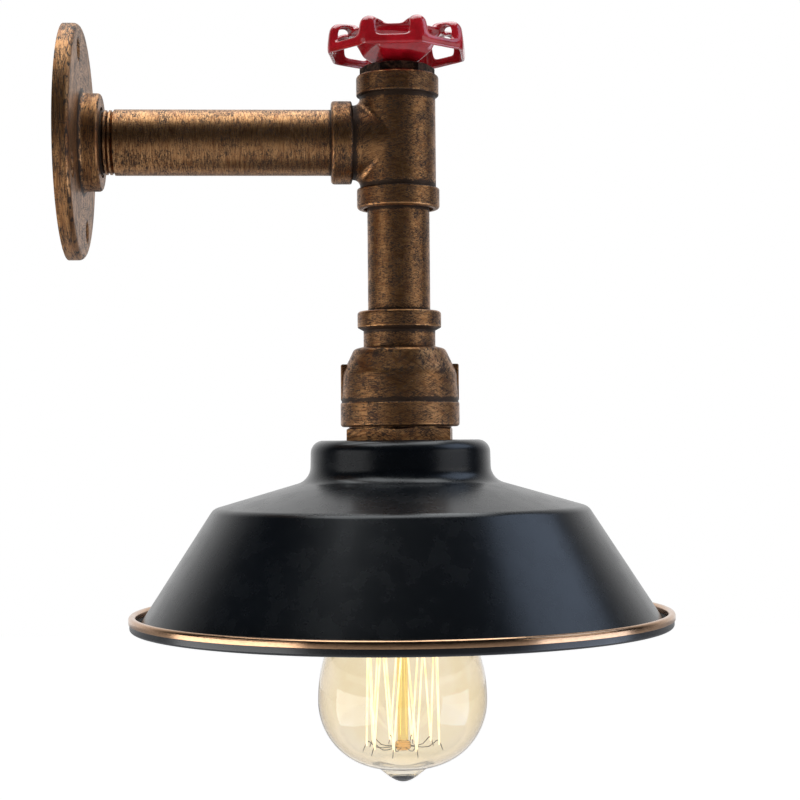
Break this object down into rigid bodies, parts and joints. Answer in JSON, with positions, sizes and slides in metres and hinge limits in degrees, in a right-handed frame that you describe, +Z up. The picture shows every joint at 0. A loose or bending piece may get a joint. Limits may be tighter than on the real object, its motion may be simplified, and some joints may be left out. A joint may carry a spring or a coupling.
{
  "type": "wall light",
  "caption": "Pipe-fitting wall light: round wall flange, pipe arm, tee with a red hand wheel on top, reducer, stepped black shade with an upturned rim, and a squirrel-cage bulb",
  "frame": {"origin": "centre of the wall flange's back face, on the wall", "axes": "+X out of the wall along the arm, +Z up, +Y to the left of someone who looks at the wall light from the room"},
  "size_m": [0.244, 0.22, 0.3079],
  "materials": {
    "wall_flange": "antique copper plate, brushed round the axis",
    "arm_pipe": "antique copper plate, brushed round the axis",
    "pipe_tee": "antique copper plate, brushed round the axis",
    "tee_plug": "dark bronze",
    "wheel_stud": "plain steel",
    "wheel_washer": "plain steel",
    "handwheel": "glossy deep red enamel on a casting",
    "cap_washer": "plain",
    "cap_nut": "aged",
    "drop_nipple": "antique copper plate, brushed round the axis",
    "bell_reducer": "antique copper plate, brushed round the axis",
    "hex_bushing": "antique copper plate, worn",
    "lampshade": "satin black with a copper-coloured rim bead",
    "shade_ring": "blackened",
    "lampholder_shell": "aged",
    "lampholder_lid": "plain",
    "ceramic_insert": "white glaze",
    "screw_shell": "plain",
    "centre_contact": "plain",
    "terminal_blocks": "plain",
    "terminal_screws": "zinc plated",
    "earth_tag": "plain",
    "earth_screw": "zinc plated",
    "live_wire": "brown insulation",
    "neutral_wire": "blue insulation",
    "earth_wire": "green insulation with a yellow stripe",
    "bulb_glass": "clear with an amber tint",
    "glass_mount": "clear with an amber tint",
    "bulb_cap": "nickel-coloured",
    "bulb_insulator": "black, vitreous",
    "bulb_contact": "tinned",
    "lower_supports": "dark wire",
    "upper_supports": "dark wire",
    "filament": "glowing pale yellow",
    "lead_wires": "dark wire"
  },
  "bodies": {
    "fixture": {"wall_flange": "wall_flange", "arm_pipe": "arm_pipe", "pipe_tee": "pipe_tee", "tee_plug": "tee_plug", "wheel_stud": "wheel_stud", "wheel_washer": "wheel_washer", "cap_washer": "cap_washer", "cap_nut": "cap_nut", "drop_nipple": "drop_nipple", "bell_reducer": "bell_reducer", "hex_bushing": "hex_bushing", "lampshade": "lampshade", "shade_ring": "shade_ring", "lampholder_shell": "lampholder_shell", "lampholder_lid": "lampholder_lid", "ceramic_insert": "ceramic_insert", "screw_shell": "screw_shell", "centre_contact": "centre_contact", "terminal_blocks": "terminal_blocks", "terminal_screws": "terminal_screws", "earth_tag": "earth_tag", "earth_screw": "earth_screw", "live_wire": "live_wire", "neutral_wire": "neutral_wire", "earth_wire": "earth_wire"},
    "wheel": {"handwheel": "handwheel"},
    "bulb_carriage": {"bulb_contact": "bulb_contact", "bulb_insulator": "bulb_insulator"},
    "bulb": {"bulb_glass": "bulb_glass", "bulb_cap": "bulb_cap", "glass_mount": "glass_mount", "lead_wires": "lead_wires", "filament": "filament", "upper_supports": "upper_supports", "lower_supports": "lower_supports"}
  },
  "joints": [
    {"name": "wheel_turn", "type": "hinge", "parent": "fixture", "child": "wheel", "pos_m": [0.134, 0, 0.04], "axis": [0, 0, 1], "continuous": true},
    {"name": "bulb_travel", "type": "slide", "parent": "fixture", "child": "bulb_carriage", "axis": [0, 0, -1], "range_m": [0, 0.0218]},
    {"name": "bulb_turn", "type": "hinge", "parent": "bulb_carriage", "child": "bulb", "pos_m": [0.134, 0, -0.15], "axis": [0, 0, -1], "range_deg": [0, 2160]}
  ],
  "couplings": [
    {"joint": "bulb_travel", "follows": "bulb_turn", "m_per_rad": 0.00057757}
  ]
}
